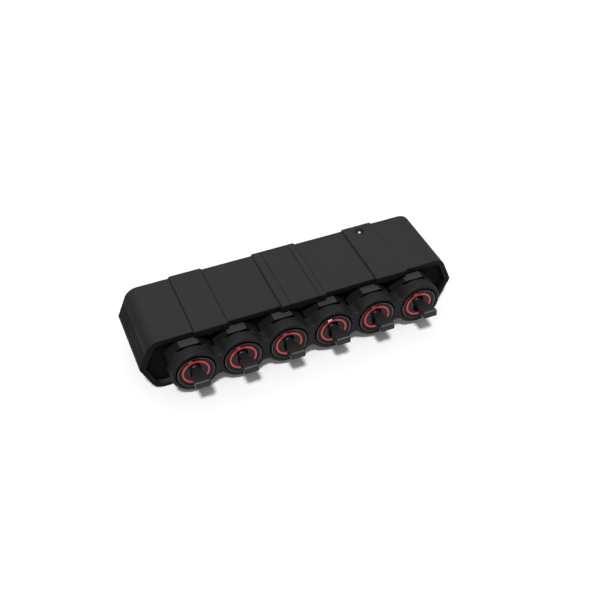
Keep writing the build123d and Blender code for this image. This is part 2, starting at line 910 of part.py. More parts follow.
gland_makers = {
    "gland_body": gland_body,
    "gland_cap": gland_cap,
    "gland_seal": gland_seal,
}
for side, place in zip(("supply", "output"), gland_places):
    for name, maker in gland_makers.items():
        piece = maker(place)
        piece.label = f"{side}_{name}"
        export_step(piece, f"parts/{side}_{name}.step")

with BuildPart() as gland_locknuts:
    with BuildSketch(forward_plane(cover_front_y)):
        with Locations(*[(x, 0) for x in gland_places]):
            RegularPolygon(gland_hex / 2, 6, major_radius=False)
            Circle(gland_thread_radius + thread_gap, mode=Mode.SUBTRACT)
    extrude(amount=locknut_thickness)
gland_locknuts.part.label = "gland_locknuts"
export_step(gland_locknuts.part, "parts/gland_locknuts.step")

# ---- mounting inserts in the underside --------------------------------------

with BuildPart() as mounting_inserts:
    with BuildSketch(Plane.XY):
        with GridLocations(insert_spacing_x, insert_spacing_y, 2, 2):
            ring_sketch(insert_outer_radius, insert_hole_radius)
    extrude(amount=insert_length)
mounting_inserts.part.label = "mounting_inserts"
export_step(mounting_inserts.part, "parts/mounting_inserts.step")
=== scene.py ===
# %% [markdown]
# # A portable power distribution box
#
# The box is one long, six-sided black moulding with six lit toggle switches along its
# front. This lesson starts from the solids that the CAD model already holds, gives each
# of them a finish of its own, and adds what a CAD model leaves out: bezels with a turned
# bead, levers with fine rounds, the printed marks round the switches, the grain of the
# mouldings and the drives of the screws.
#
# The plain paints that come with the solids are thrown away, since every solid gets a
# finish of its own further down.

import json
import math

import bpy
from mathutils import Matrix, Vector


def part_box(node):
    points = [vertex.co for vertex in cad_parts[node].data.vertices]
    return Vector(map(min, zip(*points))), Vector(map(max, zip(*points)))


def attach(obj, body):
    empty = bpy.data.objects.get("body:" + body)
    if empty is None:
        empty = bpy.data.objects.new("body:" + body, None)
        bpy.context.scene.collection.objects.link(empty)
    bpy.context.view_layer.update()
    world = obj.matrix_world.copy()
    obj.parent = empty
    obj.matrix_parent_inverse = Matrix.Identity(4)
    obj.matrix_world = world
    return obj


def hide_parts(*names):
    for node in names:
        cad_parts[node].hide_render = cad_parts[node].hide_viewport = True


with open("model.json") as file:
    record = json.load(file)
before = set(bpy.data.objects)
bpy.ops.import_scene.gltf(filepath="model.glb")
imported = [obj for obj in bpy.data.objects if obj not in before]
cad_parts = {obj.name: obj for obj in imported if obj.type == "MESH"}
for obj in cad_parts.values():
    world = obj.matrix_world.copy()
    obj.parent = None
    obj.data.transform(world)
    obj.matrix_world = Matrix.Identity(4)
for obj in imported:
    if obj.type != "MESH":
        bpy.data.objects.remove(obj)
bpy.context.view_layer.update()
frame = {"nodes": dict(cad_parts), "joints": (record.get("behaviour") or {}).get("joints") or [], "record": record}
nodes = frame["nodes"]
record = frame["record"]
mm = 0.001
for plain_paint in list(bpy.data.materials):
    bpy.data.materials.remove(plain_paint)

# %% [markdown]
# ## Where the camera stands
#
# The camera looks down on the box from its front left. It is placed by two angles and a
# distance about a point on the front edge of the top. A camera's own axes are its right,
# its up and the way back towards the viewer, so these three directions are the columns
# of its rotation.

# %% camera
azimuth = math.radians(-22.917)
elevation = math.radians(43.524)
distance = 541.35 * mm
aim = Vector((-1.93, -25.08, 39.72)) * mm

toward_viewer = Vector(
    (
        math.sin(azimuth) * math.cos(elevation),
        -math.cos(azimuth) * math.cos(elevation),
        math.sin(elevation),
    )
)
camera_right = Vector((math.cos(azimuth), math.sin(azimuth), 0))
camera_up = toward_viewer.cross(camera_right)
turn = Matrix((camera_right, camera_up, toward_viewer)).transposed()
bpy.ops.object.camera_add(location=aim + toward_viewer * distance)
camera = bpy.context.object
camera.name = "camera"
camera.rotation_euler = turn.to_euler()
camera.data.sensor_width = 36
camera.data.lens = 52.9
camera.data.clip_start = 0.01
bpy.context.scene.camera = camera
print("camera stands at", tuple(camera.location))

# %% [markdown]
# ## A white studio
#
# The box stands on a wide white sheet. A key light from the front, a little above the
# camera, draws the edges of the levers and puts a soft shadow under each of them. A much
# wider light from high behind fills the top, and the plain light of the world reaches
# the rest.
# Both lamps are suns, because a sun lights a wide sheet evenly, and the angle of a sun
# is what makes its shadow soft. Together they light a white sheet to about one, so that
# a colour renders about as it is written.

# %% lamps
def soft_sun(name, heading, height, spread, share):
    """Sun from a heading and a height in degrees, with its share of a level sheet's light."""
    bpy.ops.object.light_add(type="SUN")
    lamp = bpy.context.object
    lamp.name = name
    lamp.data.angle = math.radians(spread)
    lamp.data.energy = share * math.pi / math.sin(math.radians(height))
    lamp.rotation_euler = (math.radians(90 - height), 0, math.radians(heading))


key_heading, key_height, key_spread, key_share = -24, 61, 7, 0.8
overhead_heading, overhead_height, overhead_spread, overhead_share = 150, 68, 70, 0.12
world_share = 0.2
soft_sun("key_sun", key_heading, key_height, key_spread, key_share)
soft_sun("overhead_sun", overhead_heading, overhead_height, overhead_spread, overhead_share)

# %% [markdown]
# The world and the sheet both look plain white to the camera and in reflections, which
# the Light Path node finds out, while they light the box at a lower level. The sheet
# only gets a little of its white that way, so it keeps the shadow of the box.

# %% white world and sheet
def seen_directly(made, join):
    """One for camera, glossy and transmission rays, and nothing for the others."""
    path = made.new("ShaderNodeLightPath")
    first = made.new("ShaderNodeMath")
    first.operation = "MAXIMUM"
    join(path.outputs["Is Camera Ray"], first.inputs[0])
    join(path.outputs["Is Glossy Ray"], first.inputs[1])
    both = made.new("ShaderNodeMath")
    both.operation = "MAXIMUM"
    join(first.outputs["Value"], both.inputs[0])
    join(path.outputs["Is Transmission Ray"], both.inputs[1])
    return both.outputs["Value"]


world = bpy.data.worlds.new("studio_world")
bpy.context.scene.world = world
world.use_nodes = True
world_nodes = world.node_tree.nodes
world_join = world.node_tree.links.new
lit_background = world_nodes["Background"]
lit_background.inputs["Color"].default_value = (1, 1, 1, 1)
lit_background.inputs["Strength"].default_value = world_share
white_background = world_nodes.new("ShaderNodeBackground")
white_background.inputs["Color"].default_value = (1, 1, 1, 1)
white_background.inputs["Strength"].default_value = 1.0
world_mix = world_nodes.new("ShaderNodeMixShader")
world_join(seen_directly(world_nodes, world_join), world_mix.inputs["Fac"])
world_join(lit_background.outputs["Background"], world_mix.inputs[1])
world_join(white_background.outputs["Background"], world_mix.inputs[2])
world_join(world_mix.outputs["Shader"], world_nodes["World Output"].inputs["Surface"])

sheet_size = 12
sheet_drop = 0.2 * mm
sheet_tint = 0.9
sheet_own_white = 0.08
bpy.ops.mesh.primitive_plane_add(size=sheet_size, location=(0, 0, -sheet_drop))
sheet = bpy.context.object
sheet.name = "studio_sheet"
sheet_paint = bpy.data.materials.new("studio_white")
sheet_paint.use_nodes = True
sheet_nodes = sheet_paint.node_tree.nodes
sheet_join = sheet_paint.node_tree.links.new
sheet_shader = sheet_nodes["Principled BSDF"]
sheet_shader.inputs["Base Color"].default_value = (sheet_tint, sheet_tint, sheet_tint, 1)
sheet_shader.inputs["Roughness"].default_value = 0.9
sheet_shader.inputs["Specular IOR Level"].default_value = 0.0
sheet_shader.inputs["Emission Color"].default_value = (1, 1, 1, 1)
own_white = sheet_nodes.new("ShaderNodeMath")
own_white.operation = "MULTIPLY"
own_white.inputs[1].default_value = sheet_own_white
sheet_join(seen_directly(sheet_nodes, sheet_join), own_white.inputs[0])
sheet_join(own_white.outputs["Value"], sheet_shader.inputs["Emission Strength"])
sheet.data.materials.append(sheet_paint)
bpy.context.scene.view_settings.view_transform = "Standard"
print("sheet and world are white")

# %% [markdown]
# ## The effects that the plastics share
#
# Moulded plastic is never quite even. Under a lens its skin is a fine grain that was
# etched into the mould, its sheen changes slowly from place to place, and its colour is a
# little cloudy. All three are made from noise in the solid's own space, once, in a node
# group that each plastic uses with its own values.

# %% group for moulded grain
def add_socket(group, name, direction, default=None):
    """Names one input or output of a node group."""
    is_colour = name in ("Color", "Tint", "Deep tint")
    kind = "NodeSocketColor" if is_colour else "NodeSocketFloat"
    socket = group.interface.new_socket(name=name, in_out=direction, socket_type=kind)
    if default is not None:
        socket.default_value = default


def arithmetic(made, join, operation, first, second, clamp=False):
    """Math node whose two inputs are sockets or plain numbers."""
    node = made.new("ShaderNodeMath")
    node.operation = operation
    node.use_clamp = clamp
    for socket, value in zip(node.inputs, (first, second)):
        if isinstance(value, (int, float)):
            socket.default_value = value
        else:
            join(value, socket)
    return node.outputs["Value"]


clouds_per_metre = 35
cloud_low, cloud_high = 0.3, 0.7


def moulded_grain_group():
    """Grain, sheen and cloudiness of a moulded plastic."""
    group = bpy.data.node_groups.new("moulded_grain", "ShaderNodeTree")
    add_socket(group, "Tint", "INPUT", (0.02, 0.02, 0.02, 1))
    add_socket(group, "Cloudiness", "INPUT", 0.1)
    add_socket(group, "Grain size", "INPUT", 1500.0)
    add_socket(group, "Sheen low", "INPUT", 0.45)
    add_socket(group, "Sheen high", "INPUT", 0.6)
    add_socket(group, "Color", "OUTPUT")
    add_socket(group, "Roughness", "OUTPUT")
    add_socket(group, "Height", "OUTPUT")
    made = group.nodes
    join = group.links.new
    inside = made.new("NodeGroupInput")
    outside = made.new("NodeGroupOutput")
    place = made.new("ShaderNodeTexCoord")
    grain = made.new("ShaderNodeTexNoise")
    grain.inputs["Detail"].default_value = 3
    cloud = made.new("ShaderNodeTexNoise")
    cloud.inputs["Scale"].default_value = clouds_per_metre
    cloud.inputs["Detail"].default_value = 2
    join(place.outputs["Object"], grain.inputs["Vector"])
    join(place.outputs["Object"], cloud.inputs["Vector"])
    join(inside.outputs["Grain size"], grain.inputs["Scale"])

    sheen = made.new("ShaderNodeMapRange")
    join(cloud.outputs["Fac"], sheen.inputs["Value"])
    sheen.inputs["From Min"].default_value = cloud_low
    sheen.inputs["From Max"].default_value = cloud_high
    join(inside.outputs["Sheen low"], sheen.inputs["To Min"])
    join(inside.outputs["Sheen high"], sheen.inputs["To Max"])
    join(sheen.outputs["Result"], outside.inputs["Roughness"])

    both = arithmetic(made, join, "ADD", cloud.outputs["Fac"], grain.outputs["Fac"])
    uneven = arithmetic(made, join, "SUBTRACT", both, 1.0)
    scaled = arithmetic(made, join, "MULTIPLY", uneven, inside.outputs["Cloudiness"])
    shade = arithmetic(made, join, "ADD", scaled, 1.0)
    tinted = made.new("ShaderNodeVectorMath")
    tinted.operation = "SCALE"
    join(inside.outputs["Tint"], tinted.inputs["Vector"])
    join(shade, tinted.inputs["Scale"])
    join(tinted.outputs["Vector"], outside.inputs["Color"])
    join(grain.outputs["Fac"], outside.inputs["Height"])
    return group


moulded_grain = moulded_grain_group()
print("group ready:", moulded_grain.name)

# %% [markdown]
# ## Painted light and shade by the way a face looks
#
# A matt black moulding is painted a paler grey on the faces that look up, as painted light
# from above, and a deep black on the faces that stand upright or hang, as painted shade.
# The second group makes this from the direction that a face looks in, broken up by a
# little noise, and mixes a deep tint with a paler one. On the bezels the upward tint is
# the darker one, painted shade on their upper faces.

# %% group for painted light and shade
tone_patches_per_metre = 60
tone_patch_share = 0.12


def painted_light_and_shade_group():
    """Painted light where a face looks up, as a paler tint, and painted shade where it stands upright or hangs."""
    group = bpy.data.node_groups.new("painted_light_and_shade", "ShaderNodeTree")
    add_socket(group, "Tint", "INPUT", (0.03, 0.03, 0.03, 1))
    add_socket(group, "Deep tint", "INPUT", (0.005, 0.005, 0.005, 1))
    add_socket(group, "Steepness", "INPUT", 1.3)
    add_socket(group, "Color", "OUTPUT")
    made = group.nodes
    join = group.links.new
    inside = made.new("NodeGroupInput")
    outside = made.new("NodeGroupOutput")
    face = made.new("ShaderNodeNewGeometry")
    heading = made.new("ShaderNodeSeparateXYZ")
    join(face.outputs["Normal"], heading.inputs["Vector"])
    place = made.new("ShaderNodeTexCoord")
    tone_patches = made.new("ShaderNodeTexNoise")
    tone_patches.inputs["Scale"].default_value = tone_patches_per_metre
    tone_patches.inputs["Detail"].default_value = 4
    join(place.outputs["Object"], tone_patches.inputs["Vector"])
    shifted = arithmetic(made, join, "SUBTRACT", tone_patches.outputs["Fac"], 0.5)
    small = arithmetic(made, join, "MULTIPLY", shifted, tone_patch_share)
    upward = arithmetic(made, join, "ADD", heading.outputs["Z"], small, clamp=True)
    toward_top = arithmetic(made, join, "POWER", upward, inside.outputs["Steepness"])
    mixed = made.new("ShaderNodeMix")
    mixed.data_type = "RGBA"
    join(toward_top, mixed.inputs["Factor"])
    join(inside.outputs["Deep tint"], mixed.inputs["A"])
    join(inside.outputs["Tint"], mixed.inputs["B"])
    join(mixed.outputs["Result"], outside.inputs["Color"])
    return group


painted_light_and_shade = painted_light_and_shade_group()
print("group ready:", painted_light_and_shade.name)

# %% [markdown]
# ## Inside the grip grooves
#
# Four fine grooves run along each slanted end, where fingers hold the box. The housing's
# plastic is painted a deeper black in them, a painted shade for the little light that
# gets in. The mask below finds them by how far they lie from the sharp edge of the end,
# which is where the housing is widest. It could be painted by hand, but a distance stays
# right if the housing gets another size.

# %% where the grip grooves lie
groove_count = 4
groove_first = 3.6 * mm
groove_pitch = 2.2 * mm
groove_half = 0.42 * mm
groove_margin = 0.4  # in pitches, before the first groove and past the last
edge_width = 0.1 * mm
corners = [corner.co for corner in nodes["housing"].data.vertices]
edge_x = max(corner.x for corner in corners)
edge_heights = [corner.z for corner in corners if corner.x > edge_x - edge_width]
edge_z = sum(edge_heights) / len(edge_heights)


def groove_shade_mask(made, join):
    """One inside the grip grooves of the slanted ends, and nothing elsewhere."""
    place = made.new("ShaderNodeTexCoord")
    parts = made.new("ShaderNodeSeparateXYZ")
    join(place.outputs["Object"], parts.inputs["Vector"])
    outward = arithmetic(made, join, "ABSOLUTE", parts.outputs["X"], 0.0)
    inward = arithmetic(made, join, "SUBTRACT", outward, edge_x)
    upward = arithmetic(made, join, "SUBTRACT", parts.outputs["Z"], edge_z)
    inward_squared = arithmetic(made, join, "MULTIPLY", inward, inward)
    upward_squared = arithmetic(made, join, "MULTIPLY", upward, upward)
    both = arithmetic(made, join, "ADD", inward_squared, upward_squared)
    away = arithmetic(made, join, "SQRT", both, 0.0)
    past_first = arithmetic(made, join, "SUBTRACT", away, groove_first)
    order = arithmetic(made, join, "DIVIDE", past_first, groove_pitch)
    from_middle = arithmetic(made, join, "PINGPONG", order, 0.5)
    narrow = arithmetic(made, join, "LESS_THAN", from_middle, groove_half / groove_pitch)
    last_order = groove_count - 1
    started = arithmetic(made, join, "GREATER_THAN", order, -groove_margin)
    unfinished = arithmetic(made, join, "LESS_THAN", order, last_order + groove_margin)
    above = arithmetic(made, join, "GREATER_THAN", upward, 0.0)
    mask = narrow
    for condition in (started, unfinished, above):
        mask = arithmetic(made, join, "MULTIPLY", mask, condition)
    return mask


print("sharp edge of the ends at", round(edge_x / mm, 2), round(edge_z / mm, 2))

# %% [markdown]
# ## Plastics
#
# A plastic is one Principled shader fed by the two groups. Its grain goes through a Bump
# node. The values that are the same all over, such as the specular level, are set on the
# shader itself. The matt black of the housing reflects very little, which a low specular
# level gives, and the switches are glossier. A grain is written as how many grains there
# are in a metre and how deep they are, and a sheen as its lowest and highest roughness.

# %% plastics
def grey(level, blue=1.0):
    """Neutral tint of one level, a little bluer where blue is over one."""
    return (level, level, level * blue)


def plastic(
    name,
    tint,
    deep,
    grain,
    sheen,
    cloudiness=0.12,
    specular=0.5,
    steepness=1.3,
    groove_shade=None,
):
    """Plastic with painted light upward and painted shade upright, grain (size, depth), sheen (low, high)."""
    paint = bpy.data.materials.new(name)
    paint.use_nodes = True
    made = paint.node_tree.nodes
    join = paint.node_tree.links.new
    shader = made["Principled BSDF"]
    painted_light_node = made.new("ShaderNodeGroup")
    painted_light_node.node_tree = painted_light_and_shade
    painted_light_node.inputs["Tint"].default_value = (*tint, 1)
    painted_light_node.inputs["Deep tint"].default_value = (*deep, 1)
    painted_light_node.inputs["Steepness"].default_value = steepness
    skin = made.new("ShaderNodeGroup")
    skin.node_tree = moulded_grain
    # The grip grooves get a darker tint, a painted shade.
    if groove_shade:
        groove_shaded = made.new("ShaderNodeMix")
        groove_shaded.data_type = "RGBA"
        join(groove_shade_mask(made, join), groove_shaded.inputs["Factor"])
        join(painted_light_node.outputs["Color"], groove_shaded.inputs["A"])
        groove_shaded.inputs["B"].default_value = (*groove_shade, 1)
        join(groove_shaded.outputs["Result"], skin.inputs["Tint"])
    else:
        join(painted_light_node.outputs["Color"], skin.inputs["Tint"])
    skin.inputs["Cloudiness"].default_value = cloudiness
    skin.inputs["Grain size"].default_value = grain[0]
    skin.inputs["Sheen low"].default_value = sheen[0]
    skin.inputs["Sheen high"].default_value = sheen[1]
    bump = made.new("ShaderNodeBump")
    bump.inputs["Strength"].default_value = 1.0
    bump.inputs["Distance"].default_value = grain[1]
    join(skin.outputs["Height"], bump.inputs["Height"])
    join(skin.outputs["Color"], shader.inputs["Base Color"])
    join(skin.outputs["Roughness"], shader.inputs["Roughness"])
    join(bump.outputs["Normal"], shader.inputs["Normal"])
    shader.inputs["Specular IOR Level"].default_value = specular
    return paint


rubber_sheen = (0.75, 0.85)
matt_sheen = (0.55, 0.68)
soft_sheen = (0.45, 0.55)
satin_sheen = (0.32, 0.42)
board_sheen = (0.3, 0.4)
glossy_sheen = (0.2, 0.3)
clear_sheen = (0.15, 0.2)
rubber_grain = (2600, 0.05 * mm)
fine_grain = (2200, 0.02 * mm)
coarse_grain = (1600, 0.05 * mm)
fuse_grain = (1200, 0.01 * mm)
board_grain = (900, 0.03 * mm)
cool = 1.05
# Every plastic below is painted paler where it looks up and darker where it stands upright: painted light and
# painted shade. The housing's fronts are painted near black.
housing_plastic = plastic(
    "housing_plastic",
    grey(0.029, cool),
    grey(0.004),
    coarse_grain,
    matt_sheen,
    specular=0.06,
    steepness=2.6,
    groove_shade=grey(0.006),
)
# Its high steepness paints the slanted faces of the bosses nearly as dark as the upright ones, a painted shade.
panel_plastic = plastic(
    "panel_plastic",
    grey(0.045, cool),
    grey(0.003),
    coarse_grain,
    matt_sheen,
    specular=0.03,
    steepness=5,
)
fascia_plastic = plastic(
    "fascia_plastic", grey(0.013, cool), grey(0.007), fine_grain, soft_sheen, specular=0.1
)
switch_plastic = plastic(
    "switch_plastic", grey(0.012), grey(0.007), fine_grain, glossy_sheen, specular=0.15
)
lever_plastic = plastic(
    "lever_plastic", grey(0.016, cool), grey(0.01, cool), fine_grain, satin_sheen, specular=0.25
)
inner_plastic = plastic("inner_plastic", grey(0.03), grey(0.02), coarse_grain, matt_sheen)
gland_plastic = plastic(
    "gland_plastic", grey(0.025), grey(0.01), coarse_grain, satin_sheen, specular=0.3
)
rubber = plastic(
    "rubber", grey(0.03), grey(0.012), rubber_grain, rubber_sheen, specular=0.2
)
board_laminate = plastic(
    "board_laminate", (0.02, 0.12, 0.045), (0.02, 0.1, 0.04), board_grain, board_sheen
)
fuse_plastic = plastic(
    "fuse_plastic", (0.6, 0.04, 0.03), (0.5, 0.03, 0.025), fuse_grain, clear_sheen
)
print("plastics ready")

# %% [markdown]
# ## Metals
#
# The screws are blackened steel, the inserts and the contacts are brass, and the bezels
# are black anodised with a brighter bead round the outside. Turned metal carries fine
# marks from the tool. They are too small to be told apart here, so the grain group at a
# very fine size stands for them, and breaks up what the metal reflects.

# %% metals
metal_grain_size = 3000
metal_cloudiness = 0.2
metal_steepness = 0.7
metal_sheen_span = 0.1
scratch_depth = 0.01 * mm
brass = (0.72, 0.47, 0.17)


def metal(name, tint, roughness, upward_tint=None):
    """Turned or stamped metal with fine scratches, and a painted shade tint where it looks up, if given."""
    paint = bpy.data.materials.new(name)
    paint.use_nodes = True
    made = paint.node_tree.nodes
    join = paint.node_tree.links.new
    shader = made["Principled BSDF"]
    skin = made.new("ShaderNodeGroup")
    skin.node_tree = moulded_grain
    painted_light_node = made.new("ShaderNodeGroup")
    painted_light_node.node_tree = painted_light_and_shade
    painted_light_node.inputs["Tint"].default_value = (*(upward_tint or tint), 1)
    painted_light_node.inputs["Deep tint"].default_value = (*tint, 1)
    painted_light_node.inputs["Steepness"].default_value = metal_steepness
    join(painted_light_node.outputs["Color"], skin.inputs["Tint"])
    skin.inputs["Cloudiness"].default_value = metal_cloudiness
    skin.inputs["Grain size"].default_value = metal_grain_size
    skin.inputs["Sheen low"].default_value = roughness
    skin.inputs["Sheen high"].default_value = roughness + metal_sheen_span
    bump = made.new("ShaderNodeBump")
    bump.inputs["Distance"].default_value = scratch_depth
    join(skin.outputs["Height"], bump.inputs["Height"])
    join(skin.outputs["Color"], shader.inputs["Base Color"])
    join(skin.outputs["Roughness"], shader.inputs["Roughness"])
    join(bump.outputs["Normal"], shader.inputs["Normal"])
    shader.inputs["Metallic"].default_value = 1.0
    return paint


# The bezel's upper rounded faces get a darker tint, a painted shade.
bezel_metal = metal("bezel_metal", grey(0.016, cool), 0.4, grey(0.004))
screw_steel = metal("screw_steel", grey(0.012, cool), 0.35)
contact_brass = metal("contact_brass", brass, 0.25)
insert_brass = metal("insert_brass", brass, 0.3)
print("metals ready")

# %% [markdown]
# ## Lit plastics
#
# The ring round each lever is a clear red light guide, and the indicator is a white one.
# Their light is given as the colour that the eye sees at a strength of about one, so
# that the ring looks lit and throws only a faint red on what is near.

# %% lit plastics
lit_grain_size = 900
lit_cloudiness = 0.3
spot_rim, spot_core = 1.3, 0.6


def lit_plastic(name, tint, glow, strength, spot=None):
    """Plastic with an uneven light behind it, all over or only in a spot (x, y, radius)."""
    paint = bpy.data.materials.new(name)
    paint.use_nodes = True
    made = paint.node_tree.nodes
    join = paint.node_tree.links.new
    shader = made["Principled BSDF"]
    skin = made.new("ShaderNodeGroup")
    skin.node_tree = moulded_grain
    skin.inputs["Tint"].default_value = (*glow, 1)
    skin.inputs["Cloudiness"].default_value = lit_cloudiness
    skin.inputs["Grain size"].default_value = lit_grain_size
    skin.inputs["Sheen low"].default_value = glossy_sheen[0]
    skin.inputs["Sheen high"].default_value = glossy_sheen[1]
    lit = skin.outputs["Color"]
    if spot:
        place = made.new("ShaderNodeTexCoord")
        across = made.new("ShaderNodeVectorMath")
        across.operation = "SUBTRACT"
        join(place.outputs["Object"], across.inputs[0])
        across.inputs[1].default_value = (spot[0], spot[1], 0)
        level = made.new("ShaderNodeVectorMath")
        level.operation = "MULTIPLY"
        join(across.outputs["Vector"], level.inputs[0])
        level.inputs[1].default_value = (1, 1, 0)
        far = made.new("ShaderNodeVectorMath")
        far.operation = "LENGTH"
        join(level.outputs["Vector"], far.inputs[0])
        fade = made.new("ShaderNodeMapRange")
        join(far.outputs["Value"], fade.inputs["Value"])
        fade.inputs["From Min"].default_value = spot_rim * spot[2]
        fade.inputs["From Max"].default_value = spot_core * spot[2]
        spotted = made.new("ShaderNodeVectorMath")
        spotted.operation = "SCALE"
        join(lit, spotted.inputs["Vector"])
        join(fade.outputs["Result"], spotted.inputs["Scale"])
        lit = spotted.outputs["Vector"]
    join(lit, shader.inputs["Emission Color"])
    join(skin.outputs["Roughness"], shader.inputs["Roughness"])
    shader.inputs["Base Color"].default_value = (*tint, 1)
    shader.inputs["Emission Strength"].default_value = strength
    return paint


ring_red = lit_plastic("ring_red", (0.12, 0.004, 0.006), (1.0, 0.06, 0.08), 0.3)
lens_low, lens_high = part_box("indicator_lens")
lens_middle = (lens_low + lens_high) / 2
spot_radius = 0.8 * mm
indicator_white = lit_plastic(
    "indicator_white",
    (0.03, 0.03, 0.03),
    (0.95, 0.97, 1.0),
    0.9,
    spot=(lens_middle.x, lens_middle.y, spot_radius),
)
print("lit plastics ready")

# %% [markdown]
# ## Dressing the solids
#
# Each solid's finish is looked up by the material slot that the record gives it, so a
# finish is chosen in one place only.

# %% dress every solid
finishes = {
    paint.name: paint
    for paint in (
        housing_plastic,
        panel_plastic,
        fascia_plastic,
        switch_plastic,
        lever_plastic,
        inner_plastic,
        gland_plastic,
        rubber,
        board_laminate,
        fuse_plastic,
        bezel_metal,
        screw_steel,
        contact_brass,
        insert_brass,
        ring_red,
        indicator_white,
    )
}
for entry in record["subparts"]:
    solid = nodes[entry["node"]]
    solid.data.materials.clear()
    solid.data.materials.append(finishes[entry["material_slot"]])
print("dressed", len(record["subparts"]), "solids")

# %% [markdown]
# ## Handling pieces
#
# The pieces that follow are modelled with Blender's own operators, which act on all that
# is selected. These small helpers select one piece, or the faces or edges of a piece that
# pass a test, and set a finished piece down: its place goes into its mesh, it gets its
# paint if it has none yet, and it is tied to the body that it moves with.

# %% helpers for pieces
hair = 0.01 * mm
squarely = 0.9


def pick(*pieces):
    """Selects only these pieces, and makes the first one active."""
    bpy.ops.object.select_all(action="DESELECT")
    for piece in pieces:
        piece.select_set(True)
    bpy.context.view_layer.objects.active = pieces[0]


def pick_parts(piece, kind, wanted):
    """Goes to edit mode and selects the faces or edges that pass a test of middle and heading."""
    bpy.ops.object.mode_set(mode="OBJECT")
    mesh = piece.data
    for parts in (mesh.vertices, mesh.edges, mesh.polygons):
        parts.foreach_set("select", [False] * len(parts))
    if kind == "FACE":
        for face in mesh.polygons:
            face.select = bool(wanted(face.center, face.normal))
    else:
        for edge in mesh.edges:
            first, second = (mesh.vertices[i].co for i in edge.vertices)
            edge.select = bool(wanted((first + second) / 2, second - first))
    bpy.ops.object.mode_set(mode="EDIT")
    bpy.ops.mesh.select_mode(type=kind)


def looks_forward(middle, heading):
    """Whether a face looks squarely towards -Y."""
    return heading.y < -squarely


def looks_back(middle, heading):
    """Whether a face looks squarely towards +Y."""
    return heading.y > squarely


def set_down(piece, name, body, paints, slot, *stands_for):
    """Names a finished piece, fixes its place in its mesh, and ties it to its body."""
    if bpy.context.mode != "OBJECT":
        bpy.ops.object.mode_set(mode="OBJECT")
    pick(piece)
    bpy.ops.object.transform_apply(location=True, rotation=True, scale=True)
    piece.name = name
    piece.data.name = name
    for paint in paints:
        piece.data.materials.append(paint)
    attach(piece, body)
    if stands_for:
        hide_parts(*stands_for)


def middle_of(node):
    """Middle of a solid's box."""
    low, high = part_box(node)
    return (low + high) / 2


switch_count = len(frame["joints"])
switch_middles = [middle_of(f"bezel_ring_{n}") for n in range(1, switch_count + 1)]
print("switches at", [round(place.x / mm, 1) for place in switch_middles])

# %% [markdown]
# ## Turned bezels
#
# Each bezel is a ring turned from one piece: a rounded bead runs round the outside, and
# inside it a flat sinks a little towards the lit ring. It could be a lathe modifier or a
# bevelled torus. Here a circle is drawn out along the section instead, ring by ring, as
# the tool on a lathe would follow it, because then every step of the section is a
# radius and a depth that can be read.

# %% bezel rings
def turned(name, centre, section, sides=128):
    """Ring turned round the axis through centre, from (radius, depth) points; depth is +Y."""
    radius, depth = section[0]
    bpy.ops.object.select_all(action="DESELECT")
    bpy.ops.mesh.primitive_circle_add(
        vertices=sides,
        radius=radius,
        location=(centre.x, depth, centre.z),
        rotation=(math.radians(90), 0, 0),
    )
    ring = bpy.context.object
    bpy.ops.object.transform_apply(location=True, rotation=True, scale=True)
    bpy.ops.object.mode_set(mode="EDIT")
    bpy.ops.mesh.select_all(action="SELECT")
    bpy.context.scene.tool_settings.transform_pivot_point = "BOUNDING_BOX_CENTER"
    for next_radius, next_depth in (*section[1:], section[0]):
        bpy.ops.mesh.extrude_region_move(
            TRANSFORM_OT_translate={"value": (0, next_depth - depth, 0)}
        )
        grow = next_radius / radius
        bpy.ops.transform.resize(
            value=(grow, 1, grow), center_override=(centre.x, next_depth, centre.z)
        )
        radius, depth = next_radius, next_depth
    bpy.ops.mesh.select_all(action="SELECT")
    bpy.ops.mesh.remove_doubles(threshold=hair)
    bpy.ops.mesh.normals_make_consistent(inside=False)
    bpy.ops.object.mode_set(mode="OBJECT")
    bpy.ops.object.shade_smooth_by_angle(angle=math.radians(30))
    return ring


bezel_low, bezel_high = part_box("bezel_ring_1")
ring_low, ring_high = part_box("light_ring_1")
ring_gap = 0.05 * mm
bezel_outer = (bezel_high.x - bezel_low.x) / 2
bezel_bore = (ring_high.x - ring_low.x) / 2 + ring_gap
bezel_front = bezel_low.y
bezel_back = bezel_high.y
bead_width = 1.0 * mm
bead_inner = bezel_outer - bead_width
bead_round = 0.45 * mm
bead_corner = 0.14 * mm
bead_slope = 0.3 * mm
bead_fall = 0.08 * mm
flat_sink = 0.5 * mm
flat_front = bezel_front + flat_sink
lip_width = 0.2 * mm
lip_start = 0.1 * mm
lip_end = 0.3 * mm
bezel_section = [
    (bezel_outer, bezel_back),
    (bezel_outer, bezel_front + bead_round),
    (bezel_outer - bead_corner, bezel_front + bead_corner),
    (bezel_outer - bead_round, bezel_front),
    (bead_inner + bead_slope, bezel_front + bead_fall),
    (bead_inner, flat_front),
    (bezel_bore + lip_width, flat_front + lip_start),
    (bezel_bore, flat_front + lip_end),
    (bezel_bore, bezel_back),
]
# The bead is a paler metal; where it looks up it is painted near black, a painted shade.
bead_metal = metal("bead_metal", grey(0.075, cool), 0.3, grey(0.002))
for number, centre in enumerate(switch_middles, start=1):
    bezel = turned("bezel", centre, bezel_section)
    bezel.data.materials.append(bezel_metal)
    bezel.data.materials.append(bead_metal)
    for face in bezel.data.polygons:
        off_axis = math.hypot(face.center.x - centre.x, face.center.z - centre.z)
        face.material_index = int(off_axis > bead_inner)
    set_down(
        bezel, f"turned_bezel_{number}", "box", (), "bezel_metal", f"bezel_ring_{number}"
    )
print("bezels turned, bead from", round(bead_inner / mm, 2), "to", round(bezel_outer / mm, 2))
